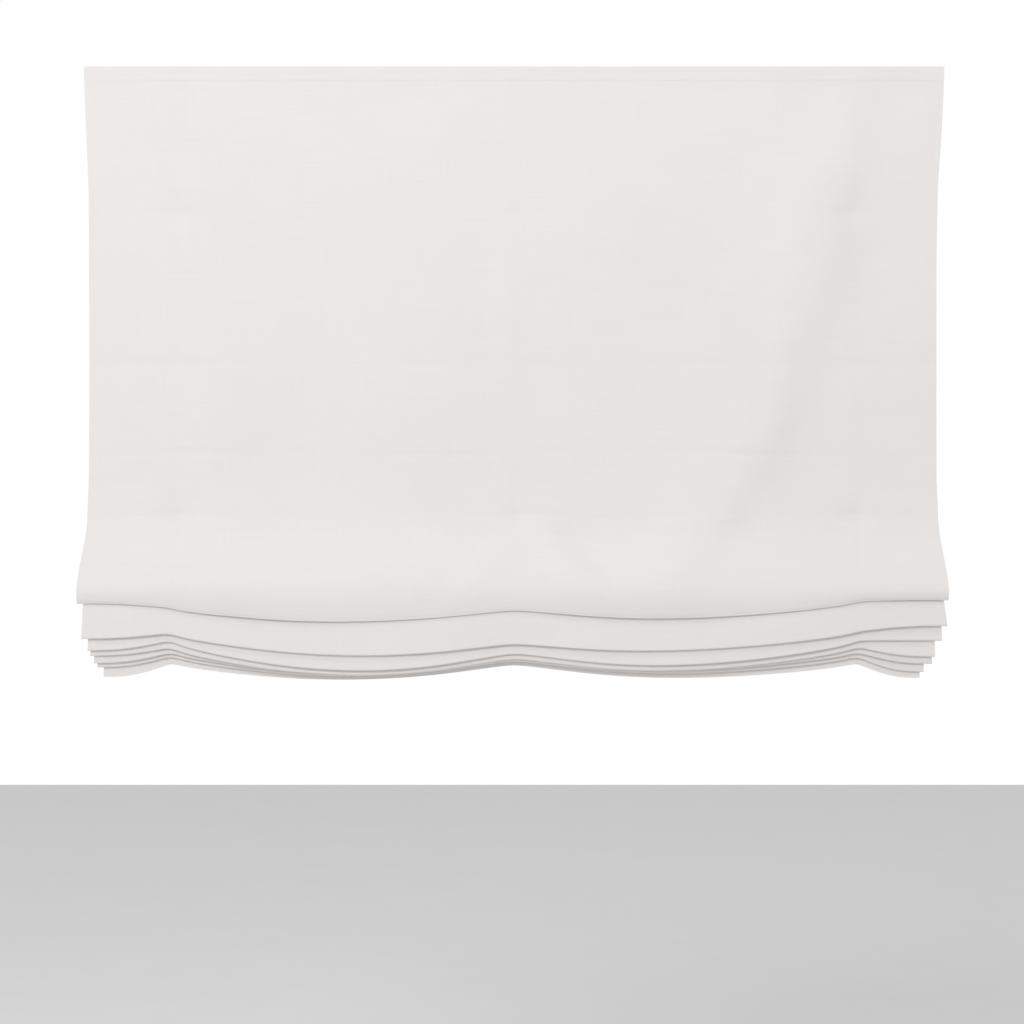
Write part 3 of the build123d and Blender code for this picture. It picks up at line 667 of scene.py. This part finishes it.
def plastic(name, colour, roughness):
    """Moulded plastic with a fine spark-eroded grain."""
    made, tree, shader = material(name, colour, roughness)
    place = stretched(tree)
    fine = noise(tree, place, 1400)
    cloudy = noise(tree, place, 60, 3.0)
    tree.links.new(mix_colour(tree, cloudy, darkened(colour, 0.93), colour), shader.inputs["Base Color"])
    tree.links.new(spread(tree, fine, roughness - 0.06, 0.12), shader.inputs["Roughness"])
    tree.links.new(bump_from(tree, fine, 0.0001, 0.3), shader.inputs["Normal"])
    return made


def clear_plastic(name):
    """Clear moulded rings, a little cloudy."""
    made, tree, shader = material(name, (0.93, 0.94, 0.94), 0.16, Transmission_Weight=0.75, IOR=1.46)
    haze = noise(tree, stretched(tree), 500)
    tint = mix_colour(tree, haze, (0.86, 0.88, 0.88), (0.95, 0.96, 0.96))
    tree.links.new(tint, shader.inputs["Base Color"])
    return made


MATERIALS = {
    "cloth": cloth_material(),
    "ring_tape": tape_material("ring_tape_woven", (0.80, 0.79, 0.76), 1.1),
    "cord": braid_material("cord_braided", (0.82, 0.81, 0.78)),
    "hook_tape": nap_material("hook_tape_hooks", (0.78, 0.78, 0.76), 900, 0.0008),
    "loop_tape": nap_material("loop_tape_pile", (0.80, 0.80, 0.78), 1500, 0.0006),
    "rail_aluminium": powder_coat("rail_powder_coat", (0.83, 0.83, 0.82)),
    "zinc_steel": metal("steel_zinc_plated", (0.62, 0.63, 0.65), 0.36, 700),
    "spring_steel": metal("steel_spring", (0.46, 0.47, 0.49), 0.28, 1100),
    "white_plastic": plastic("plastic_white", (0.82, 0.82, 0.80), 0.5),
    "grey_nylon": plastic("nylon_grey", (0.30, 0.31, 0.32), 0.46),
    "clear_plastic": clear_plastic("plastic_clear"),
}


def paint(piece, slot_name):
    """Gives a new piece the finish of a slot in the record."""
    piece.data.materials.clear()
    piece.data.materials.append(MATERIALS[slot_name])


def finish_cad_nodes():
    """Every CAD node that stays takes the finish of its slot in the record."""
    for entry in frame["record"]["subparts"]:
        node = NODES[entry["node"]]
        wanted = MATERIALS[entry["material_slot"]]
        if not node.material_slots:
            node.data.materials.append(wanted)
        for place in node.material_slots:
            place.material = wanted


# ---- Camera, light and floor, in metres ----------------------------------------------------------
CAMERA_DISTANCE = 4.0  # in front of the cloth
VIEW_MIDDLE = (-0.003, -0.605)  # what the camera looks at: across and height
VIEW_WIDTH = 1.4285  # seen across, at the cloth
SENSOR = 36
WORLD_LIGHT = 0.6  # the white surroundings' share as light; the eye sees them at 1
LAMPS_AT = (0, 0, -0.42)
# Each lamp's name, place, size and watts
LAMPS = (
    ("key", (-1.9, -5.0, 2.2), (2.0, 1.6), 148),
    ("top", (0.5, -1.7, 2.4), (2.0, 0.8), 20),
)
FLOOR_HEIGHT = -1.75
FLOOR_SIZE = 16


def make_stage():
    """A level camera straight in front, soft even light and a pale floor far below."""
    scene = bpy.context.scene
    camera = bpy.data.objects.new("camera", bpy.data.cameras.new("camera"))
    scene.collection.objects.link(camera)
    camera.location = (VIEW_MIDDLE[0], -CAMERA_DISTANCE + CLOTH_Y * MM, VIEW_MIDDLE[1])
    camera.rotation_euler = (math.pi / 2, 0, 0)
    camera.data.sensor_width = SENSOR
    camera.data.lens = SENSOR * CAMERA_DISTANCE / VIEW_WIDTH
    camera.data.clip_end = 60
    scene.camera = camera

    world = bpy.data.worlds.new("studio")
    world.use_nodes = True
    tree = world.node_tree
    background = tree.nodes["Background"]
    background.inputs["Color"].default_value = (1, 1, 1, 1)
    seen = tree.nodes.new("ShaderNodeLightPath").outputs["Is Camera Ray"]
    tree.links.new(spread(tree, seen, WORLD_LIGHT, 1 - WORLD_LIGHT), background.inputs["Strength"])
    scene.world = world
    scene.view_settings.view_transform = "Standard"

    for name, place, size, watts in LAMPS:
        data = bpy.data.lights.new(name, "AREA")
        data.shape = "RECTANGLE"
        data.size, data.size_y = size
        data.energy = watts
        lamp = bpy.data.objects.new(name, data)
        lamp.location = place
        lamp.rotation_euler = (Vector(LAMPS_AT) - Vector(place)).to_track_quat("-Z", "Y").to_euler()
        scene.collection.objects.link(lamp)

    bpy.ops.mesh.primitive_plane_add(size=FLOOR_SIZE, location=(0, 0, FLOOR_HEIGHT))
    floor = bpy.context.object
    floor.name = "floor"
    pale, tree, shader = material("floor_pale", (0.92, 0.92, 0.92), 0.9)
    cloudy = mix_colour(tree, noise(tree, stretched(tree), 6, 3.0), (0.90, 0.90, 0.90), (0.93, 0.93, 0.93))
    tree.links.new(cloudy, shader.inputs["Base Color"])
    floor.data.materials.append(pale)


# ---- Cloth pieces --------------------------------------------------------------------------------
def running_length(points):
    """How far along a line of points each of them lies."""
    return np.concatenate(([0], np.cumsum(np.linalg.norm(np.diff(points, axis=0), axis=-1))))


def flat_coordinates(piece, grid, first, last):
    """The cloth's flat coordinates in millimetres, as a UV map: across it, and down along it."""
    down = running_length(grid[:, COLUMNS // 3])[first : last + 1]
    flat = np.stack(np.broadcast_arrays(COLUMN_X[None, :], down[:, None]), axis=-1).reshape(-1, 2)
    both = np.concatenate((flat, flat))
    corners = np.empty(len(piece.data.loops), dtype=np.int32)
    piece.data.loops.foreach_get("vertex_index", corners)
    layer = piece.data.uv_layers.new(name="flat_mm")
    layer.data.foreach_set("uv", both[corners].astype(np.float32).ravel())


def make_cloth():
    """The cloth in its three stretches: header, hanging panel and gathered folds, and then its
    middle surface, normals and thickness."""
    grid = cloth_grid()
    normal = grid_normals(grid)
    rows = len(grid)
    row = np.arange(rows)
    # turned hems are thicker, with a soft step at their inner edge
    edge = HALF_WIDTH - SIDE_HEM
    side = smooth(edge - 2, edge + 2, np.abs(COLUMN_X))[None, :]
    hem = smooth(rows - HEM_ROWS[0], rows - HEM_ROWS[1], row)[:, None]
    header = 1 - smooth(HEADER_END - 1, HEADER_END + 1, row)[:, None]
    extra = np.maximum(np.maximum(side, hem), HEADER_EXTRA * header)
    thickness = CLOTH_THICKNESS + 2 * HEM_EXTRA * extra
    made = []
    for name, first, last in (
        ("cloth_header", 0, HEADER_END),
        ("cloth_hanging", HEADER_END, PANEL_END),
        ("cloth_gathered", PANEL_END, rows - 1),
    ):
        piece = cloth_piece(name, grid, normal, thickness, first, last)
        flat_coordinates(piece, grid, first, last)
        paint(piece, "cloth")
        made.append(piece)
    return made, grid, normal, thickness


# ---- Cords, stitches, tapes and threads ----------------------------------------------------------
STITCH = 2.6  # a stitch's length, in millimetres
STITCH_GAP = 1.0
STITCH_RADIUS = 0.16
# A stitch dips into the cloth at its ends: share along it, and lift off the cloth's face
STITCH_SHAPE = ((0, -0.1), (0.25, 0.12), (0.75, 0.12), (1, -0.1))
WOUND_RADIUS = 0.7  # radius of the cord on a drum
TURN_STEPS = 28
THREAD_RADIUS = 0.22
THREAD_SHIFTS = (-1.3, -0.45, 0.45, 1.3)  # the threads of a ring, beside its cord
THREAD_STEPS = 12
# Each thread goes round a point so far behind the ring's front, so far behind it, before it and up
RING_WIRE, THREAD_BEHIND, THREAD_BEFORE, THREAD_RISE = 1.1, 1.75, 1.6625, 1.5


def tube(path, radius, sides=8, closed=False):
    """The vertices and faces of a round tube along a list of points, in metres."""
    path = [Vector(p) for p in path]
    vertices, faces = [], []
    count = len(path)
    aside = Vector((0.31, 0.87, 0.38)).normalized()  # along no tube's way
    for i, point in enumerate(path):
        before = path[i - 1] if i or closed else path[i]
        after = path[(i + 1) % count] if i + 1 < count or closed else path[i]
        run = (after - before).normalized()
        out = run.cross(aside).normalized()
        over = run.cross(out)
        for k in range(sides):
            angle = TURN * k / sides
            vertices.append(point + radius * (math.cos(angle) * out + math.sin(angle) * over))
    rings = count if closed else count - 1
    for i in range(rings):
        for k in range(sides):
            a, b = i * sides + k, i * sides + (k + 1) % sides
            c, d = (b + sides) % (count * sides), (a + sides) % (count * sides)
            faces.append((a, b, c, d))
    if not closed:
        faces.append(tuple(range(sides))[::-1])
        faces.append(tuple(range((count - 1) * sides, count * sides)))
    return vertices, faces


def joined(name, parts, slot_name):
    """Several (vertices, faces) lists as one piece."""
    vertices, faces = [], []
    for some, more in parts:
        shift = len(vertices)
        vertices += some
        faces += [tuple(i + shift for i in face) for face in more]
    piece = new_mesh(name, vertices, faces)
    paint(piece, slot_name)
    return piece


def make_stitching(grid, normal):
    """The row of machine stitches that holds the header over the touch tape."""
    row = HEADER_END - 1
    face = grid[row] + normal[row] * (CLOTH_THICKNESS / 2 + HEADER_EXTRA * HEM_EXTRA)
    along = running_length(face)
    parts = []
    start = 1.0
    while start + STITCH < along[-1]:
        path = []
        for share, lift in STITCH_SHAPE:
            at = start + share * STITCH
            place = np.array([np.interp(at, along, face[:, i]) for i in range(3)])
            out = np.array([np.interp(at, along, normal[row][:, i]) for i in range(3)])
            path.append((place + out * lift) * MM)
        parts.append(tube(path, STITCH_RADIUS * MM, sides=5))
        start += STITCH + STITCH_GAP
    piece = joined("header_stitches", parts, "cord")
    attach(piece, "head")


def make_lift_cord(side, cord_x):
    """The cord from its drum down into its adjuster."""
    low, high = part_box(f"lift_cord_{side}")
    path = [(cord_x * MM, CORD_Y * MM, z) for z in np.linspace(high.z, low.z, 60)]
    piece = joined(f"cord_{side}", [tube(path, (high.x - low.x) / 2, sides=10)], "cord")
    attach(piece, "head")
    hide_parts(f"lift_cord_{side}")
    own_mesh(piece)


def make_wound_cord(side):
    """The turns of cord on a drum, each beside the last."""
    low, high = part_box(f"wound_cord_{side}")
    cord = WOUND_RADIUS * MM
    middle_y = ((low + high) / 2).y
    middle_radius = (high.z - low.z) / 2 - cord
    turns = round((high.x - low.x) / (2 * cord))
    pitch = (high.x - low.x - 2 * cord) / turns
    path = []
    for i in range(turns * TURN_STEPS + 1):
        angle = TURN * i / TURN_STEPS
        across = low.x + cord + pitch * i / TURN_STEPS
        path.append((across, middle_y - middle_radius * math.cos(angle), middle_radius * math.sin(angle)))
    # a little thinner than the cord, so that the turns don't merge
    piece = joined(f"cord_turns_{side}", [tube(path, cord * 0.98)], "cord")
    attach(piece, "drive")
    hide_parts(f"wound_cord_{side}")


def ribbon(rows, thickness):
    """A closed band from rows of points, thickened away from its face towards the wall."""
    count, columns = rows.shape[:2]
    front = rows.reshape(-1, 3) * MM
    back = (rows - grid_normals(rows) * thickness).reshape(-1, 3) * MM
    size = count * columns
    index = np.arange(size).reshape(count, columns)
    corner = (index[:-1, :-1], index[:-1, 1:], index[1:, 1:], index[1:, :-1])
    quads = np.stack(corner, axis=-1).reshape(-1, 4)
    border = np.concatenate((index[0, :], index[1:, -1], index[-1, -2::-1], index[-2:0:-1, 0]))
    following = np.roll(border, -1)
    rim = np.stack((border, border + size, following + size, following), axis=-1)
    faces = np.concatenate((quads, quads[:, ::-1] + size, rim))
    return [tuple(v) for v in np.concatenate((front, back))], [tuple(f) for f in faces.tolist()]


def tape_places(cord):
    """Where the points across a tape lie, behind its cord."""
    return cord + np.linspace(-TAPE_WIDTH / 2, TAPE_WIDTH / 2, TAPE_PLACES)


def make_upper_tapes():
    """The three ring tapes down the back of the hanging cloth, which follow its relief."""
    low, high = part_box("ring_tapes_upper")
    heights = np.linspace(high.z / MM, low.z / MM, TAPE_ROWS)
    plane = CLOTH_Y + CLOTH_THICKNESS / 2 + TAPE_GAP
    parts = []
    for cord in CORD_X:
        rows = []
        places = tape_places(cord)
        for height in heights:
            z = np.full(TAPE_PLACES, height)
            rows.append(np.stack((places, plane - relief(places, z), z), axis=-1))
        parts.append(ribbon(np.array(rows), UPPER_TAPE))
    piece = joined("tape_upper", parts, "ring_tape")
    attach(piece, "head")
    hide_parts("ring_tapes_upper")
    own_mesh(piece)


def make_lower_tapes(grid, normal, thickness):
    """The ring tapes on the gathered cloth, which follow its back through every fold."""
    behind = grid[PANEL_END:] - normal[PANEL_END:] * (thickness[PANEL_END:, :, None] / 2 + TAPE_GAP)
    parts = []
    for cord in CORD_X:
        places = tape_places(cord)
        rows = [[[np.interp(x, row[:, 0], row[:, i]) for i in range(3)] for x in places] for row in behind]
        parts.append(ribbon(np.array(rows), LOWER_TAPE))
    piece = joined("tape_lower", parts, "ring_tape")
    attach(piece, "pack")
    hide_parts("ring_tapes_lower")


def make_ring_threads():
    """A few turns of thread that hold each ring to its tape."""
    bodies = ["row_1", "row_2"] + ["pack"] * (RING_ROWS - 2)
    for row, body in enumerate(bodies, start=1):
        low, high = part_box(f"ring_row_{row}")
        height = (low.z + high.z) / 2
        parts = []
        for cord in CORD_X:
            for shift in THREAD_SHIFTS:
                path = []
                for i in range(THREAD_STEPS):
                    angle = TURN * i / THREAD_STEPS
                    reach = THREAD_BEHIND if math.cos(angle) < 0 else THREAD_BEFORE
                    y = low.y + (RING_WIRE - reach * math.cos(angle)) * MM
                    z = height + THREAD_RISE * MM * math.sin(angle)
                    path.append(((cord + shift) * MM, y, z))
                parts.append(tube(path, THREAD_RADIUS * MM, sides=5, closed=True))
        piece = joined(f"ring_threads_{row}", parts, "cord")
        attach(piece, body)


make_stage()
finish_cad_nodes()
(header, hanging, gathered), cloth, cloth_normal, cloth_depth = make_cloth()
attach(header, "head")
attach(hanging, "head")
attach(gathered, "pack")
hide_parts("cloth_panel")
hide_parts("cloth_panel")
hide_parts("cloth_folds")
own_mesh(hanging)
make_stitching(cloth, cloth_normal)
for side, cord_x in zip(SIDES, CORD_X):
    make_lift_cord(side, cord_x)
    make_wound_cord(side)
make_upper_tapes()
make_lower_tapes(cloth, cloth_normal, cloth_depth)
make_ring_threads()
